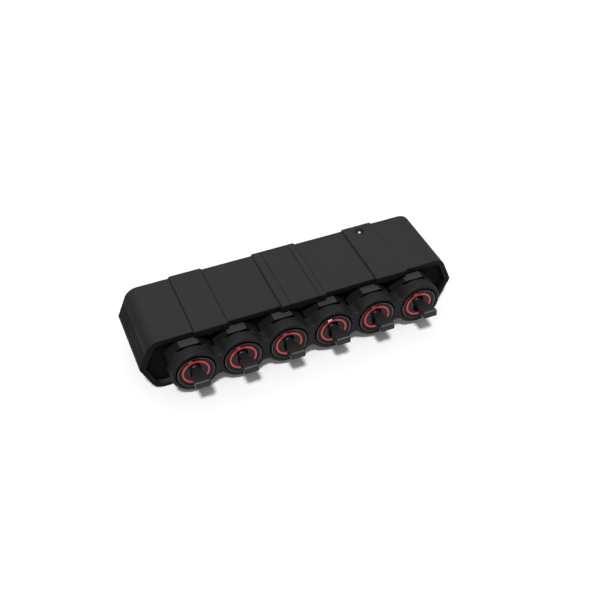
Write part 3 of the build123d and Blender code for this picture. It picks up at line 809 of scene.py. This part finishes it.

# %% [markdown]
# ## The printed marks
#
# A small ON is printed above each lit ring, on the flat of the bezel. It is set as text,
# given a thickness of a few hundredths of a millimetre, and made a mesh before its place
# is applied. It stands on the inner edge of the flat and leans with it. The mark of the
# fourth switch glows white, a painted highlight, and the others are a worn grey print.

# %% printed marks
mark_worn = plastic(
    "mark_worn", grey(0.22), grey(0.22), fine_grain, satin_sheen, cloudiness=0.5
)
# The white glow of one mark is a painted highlight.
mark_glint = lit_plastic("mark_glint", (0.8, 0.8, 0.8), (1.0, 1.0, 1.0), 0.5)
glinting_switch = 4
letter_size = 1.68 * mm
letter_thickness = 0.04 * mm
letter_boldness = 0.03 * mm
mark_gap = 0.35 * mm
mark_base = bezel_bore + mark_gap
mark_lean = math.radians(-17)
mark_side = mark_base * math.sin(mark_lean)
mark_up = mark_base * math.cos(mark_lean)
for number, centre in enumerate(switch_middles, start=1):
    bpy.ops.object.select_all(action="DESELECT")
    place = (centre.x + mark_side, flat_front, centre.z + mark_up)
    bpy.ops.object.text_add(location=place, rotation=(math.radians(90), 0, 0))
    mark = bpy.context.object
    mark.data.body = "ON"
    mark.data.size = letter_size
    mark.data.align_x = "CENTER"
    mark.data.extrude = letter_thickness
    mark.data.offset = letter_boldness
    bpy.ops.object.convert(target="MESH")
    mark = bpy.context.object
    mark.rotation_euler.y = mark_lean
    mark.data.materials.clear()
    # The fourth mark glows as a painted highlight; the others are worn grey print.
    paint = mark_glint if number == glinting_switch else mark_worn
    set_down(mark, f"on_mark_{number}", "box", (paint,), "indicator_white")
print("marks printed:", switch_count)

# %% [markdown]
# ## The levers
#
# A lever is a ball hub with two flats, a square neck and a flared paddle. The levers
# catch more light along their edges than anything else on the box, so each edge has a
# small true round instead of a shaded one. A block is extruded twice to make neck and
# paddle, its edges are bevelled, the ball is cut flat on both sides, and the two are
# joined into one skin. The narrow faces of the upper front edge get a paler plastic, a
# painted highlight.

# %% levers
pivot_y = middle_of("pivot_pins").y
lever_tilt = math.radians(12.5)
hub_radius = 3.6 * mm
hub_width = 5.6 * mm
neck_width = 5.4 * mm
neck_thickness = 3.9 * mm
paddle_width = 9.2 * mm
paddle_thickness = 4.6 * mm
paddle_start = 7.5 * mm
paddle_full = 11.5 * mm
lever_length = 19.5 * mm
tip_round = 0.8 * mm
edge_round = 0.6 * mm
mid_thickness = 1.5 * mm


def lever_arm():
    """Neck and paddle of a level lever, with its pivot at the origin."""
    bpy.ops.object.select_all(action="DESELECT")
    bpy.ops.mesh.primitive_cube_add(size=1, location=(0, -paddle_start / 2, 0))
    arm = bpy.context.object
    arm.scale = (neck_width, paddle_start, neck_thickness)
    bpy.ops.object.transform_apply(location=True, rotation=True, scale=True)
    reached = paddle_start
    width, thickness = neck_width, neck_thickness
    flare_thickness = neck_thickness + (paddle_thickness - neck_thickness) / 3
    for station, new_width, new_thickness in (
        (paddle_full, paddle_width, flare_thickness),
        (lever_length, paddle_width, paddle_thickness),
    ):
        pick_parts(arm, "FACE", looks_forward)
        bpy.ops.mesh.extrude_region_move(
            TRANSFORM_OT_translate={"value": (0, reached - station, 0)}
        )
        bpy.ops.transform.resize(
            value=(new_width / width, 1, new_thickness / thickness),
            center_override=(0, -station, 0),
        )
        bpy.ops.object.mode_set(mode="OBJECT")
        reached, width, thickness = station, new_width, new_thickness
    pick_parts(
        arm,
        "EDGE",
        lambda middle, run: middle.y < hair - lever_length and abs(run.z) > mm,
    )
    bpy.ops.mesh.bevel(offset=tip_round, segments=5, affect="EDGES")
    pick_parts(
        arm,
        "EDGE",
        lambda middle, run: middle.y < hair - lever_length
        or (abs(middle.x) > neck_width / 2 - hair and abs(middle.z) > mid_thickness),
    )
    bpy.ops.mesh.bevel(offset=edge_round, segments=3, affect="EDGES")
    bpy.ops.object.mode_set(mode="OBJECT")
    return arm


def lever_hub():
    """Ball with a flat cut on each side, at the origin."""
    bpy.ops.object.select_all(action="DESELECT")
    bpy.ops.mesh.primitive_uv_sphere_add(segments=64, ring_count=32, radius=hub_radius)
    hub = bpy.context.object
    bpy.ops.object.mode_set(mode="EDIT")
    for side in (-1, 1):
        bpy.ops.mesh.select_all(action="SELECT")
        bpy.ops.mesh.bisect(
            plane_co=(side * hub_width / 2, 0, 0),
            plane_no=(side, 0, 0),
            use_fill=True,
            clear_outer=True,
        )
    bpy.ops.object.mode_set(mode="OBJECT")
    return hub


def merge_skins(base, other):
    """Joins two closed pieces into one skin and removes the second."""
    pick(base)
    union = base.modifiers.new("one_skin", "BOOLEAN")
    union.operation = "UNION"
    union.solver = "EXACT"
    union.object = other
    bpy.ops.object.modifier_apply(modifier=union.name)
    pick(other)
    bpy.ops.object.delete()
    pick(base)


faintly_cool = 1.03
edge_slope = 0.25
# A paler plastic for the upper front edge of each tip, a painted highlight.
lever_edge_highlight = plastic(
    "lever_edge_highlight",
    grey(0.085, faintly_cool),
    grey(0.05, faintly_cool),
    fine_grain,
    satin_sheen,
    specular=0.25,
)
first_lever = lever_arm()
merge_skins(first_lever, lever_hub())
first_lever.data.materials.append(lever_plastic)
first_lever.data.materials.append(lever_edge_highlight)
# Faces of the upper front edge at the tip take the paler plastic, a painted highlight.
for face in first_lever.data.polygons:
    at_tip = face.center.y < edge_round - lever_length
    upper_front = face.normal.z > edge_slope and face.normal.y < -edge_slope
    face.material_index = int(at_tip and upper_front)
bpy.ops.object.shade_smooth_by_angle(angle=math.radians(28))
for number, centre in enumerate(switch_middles, start=1):
    pick(first_lever)
    bpy.ops.object.duplicate()
    lever = bpy.context.object
    lever.location = (centre.x, pivot_y, centre.z)
    lever.rotation_euler.x = -lever_tilt
    set_down(
        lever,
        f"toggle_lever_{number}",
        f"lever_{number}",
        (),
        "lever_plastic",
        f"lever_{number}",
    )
pick(first_lever)
bpy.ops.object.delete()
made_corners = bpy.data.objects["toggle_lever_1"].data.vertices
made_tip = min(corner.co.y for corner in made_corners)
solid_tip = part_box("lever_1")[0].y
print("lever reaches", round(made_tip / mm, 2), "solid reaches", round(solid_tip / mm, 2))

# %% [markdown]
# ## Screws with cross drives
#
# The solids of the screws are plain, so each is replaced by one with a rounded head and
# a cross drive. The head is a short cylinder whose rim is bevelled, and two crossed
# wedges are cut out of it. No two screws stop at the same turn when they are driven
# home, so each copy is turned a little further than the one before.

# %% screws
wedge_rise = 0.1 * mm
wedge_taper = 0.55
rim_share = 0.4
drive_depth_share = 0.7
drive_reach_share = 1.25
drive_width_share = 0.34
first_turn = 17
next_turn = 41


def cross_cutter(depth, reach, width):
    """Two crossed wedges that cut a drive into a head whose top is at the origin."""
    wedges = []
    for size in ((reach, depth, width), (width, depth, reach)):
        bpy.ops.object.select_all(action="DESELECT")
        bpy.ops.mesh.primitive_cube_add(size=1, location=(0, depth / 2 - wedge_rise, 0))
        wedge = bpy.context.object
        wedge.scale = (size[0], size[1] + 2 * wedge_rise, size[2])
        bpy.ops.object.transform_apply(location=True, rotation=True, scale=True)
        pick_parts(wedge, "FACE", looks_back)
        bpy.ops.transform.resize(
            value=(wedge_taper, 1, wedge_taper), center_override=(0, depth, 0)
        )
        bpy.ops.object.mode_set(mode="OBJECT")
        wedges.append(wedge)
    merge_skins(*wedges)
    return wedges[0]


def screw(head_radius, head_height, shank_radius, length):
    """Screw with its head towards -Y and its seat at the origin."""
    bpy.ops.object.select_all(action="DESELECT")
    bpy.ops.mesh.primitive_cylinder_add(
        vertices=48,
        radius=head_radius,
        depth=head_height,
        location=(0, -head_height / 2, 0),
        rotation=(math.radians(90), 0, 0),
    )
    head = bpy.context.object
    bpy.ops.object.transform_apply(location=True, rotation=True, scale=True)
    pick_parts(head, "FACE", looks_forward)
    bpy.ops.mesh.bevel(offset=rim_share * head_height, segments=4, affect="EDGES")
    pick_parts(head, "FACE", looks_back)
    bpy.ops.mesh.inset(thickness=head_radius - shank_radius)
    bpy.ops.mesh.extrude_region_move(TRANSFORM_OT_translate={"value": (0, length, 0)})
    bpy.ops.object.mode_set(mode="OBJECT")
    cutter = cross_cutter(
        drive_depth_share * head_height,
        drive_reach_share * head_radius,
        drive_width_share * head_radius,
    )
    cutter.location.y = -head_height
    pick(head)
    cut = head.modifiers.new("drive", "BOOLEAN")
    cut.operation = "DIFFERENCE"
    cut.solver = "EXACT"
    cut.object = cutter
    bpy.ops.object.modifier_apply(modifier=cut.name)
    pick(cutter)
    bpy.ops.object.delete()
    pick(head)
    bpy.ops.object.shade_smooth_by_angle(angle=math.radians(35))
    return head


def place_screws(node, places, heads_forward, head_radius, head_height, shank_radius):
    """Copies of one screw at the places, joined as the piece that stands for a node."""
    low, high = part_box(node)
    seat = low.y + head_height if heads_forward else high.y - head_height
    length = (high.y - seat) if heads_forward else (seat - low.y)
    pattern = screw(head_radius, head_height, shank_radius, length)
    half_turn = 0 if heads_forward else math.pi
    copies = []
    for number, (x, z) in enumerate(places):
        pick(pattern)
        bpy.ops.object.duplicate()
        copy = bpy.context.object
        copy.location = (x, seat, z)
        copy.rotation_euler = (0, math.radians(first_turn + next_turn * number), half_turn)
        copies.append(copy)
    pick(pattern)
    bpy.ops.object.delete()
    pick(*copies)
    bpy.ops.object.transform_apply(location=True, rotation=True, scale=True)
    pick(*copies)
    bpy.ops.object.join()
    joined = bpy.context.object
    set_down(joined, f"{node}_driven", "box", (screw_steel,), "screw_steel", node)


axis_z = switch_middles[0].z
head_radius = 2.8 * mm
head_height = 1.8 * mm
screw_radius = 1.5 * mm
panel_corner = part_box("panel_screws")[1]
panel_reach = panel_corner.x - head_radius
panel_rise = panel_corner.z - head_radius - axis_z
panel_places = [
    (x, axis_z + level * panel_rise)
    for x in (-panel_reach, 0, panel_reach)
    for level in (-1, 1)
]
cover_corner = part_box("cover_screws")[1]
cover_reach = cover_corner.x - head_radius
cover_rise = cover_corner.z - head_radius - axis_z
end_rise = 9.0 * mm
cover_places = [
    (side * cover_reach, axis_z + level * end_rise) for side in (-1, 1) for level in (-1, 1)
] + [(0, axis_z + level * cover_rise) for level in (-1, 1)]
place_screws("panel_screws", panel_places, True, head_radius, head_height, screw_radius)
place_screws("cover_screws", cover_places, False, head_radius, head_height, screw_radius)
print("screws placed:", len(panel_places), "in front,", len(cover_places), "behind")
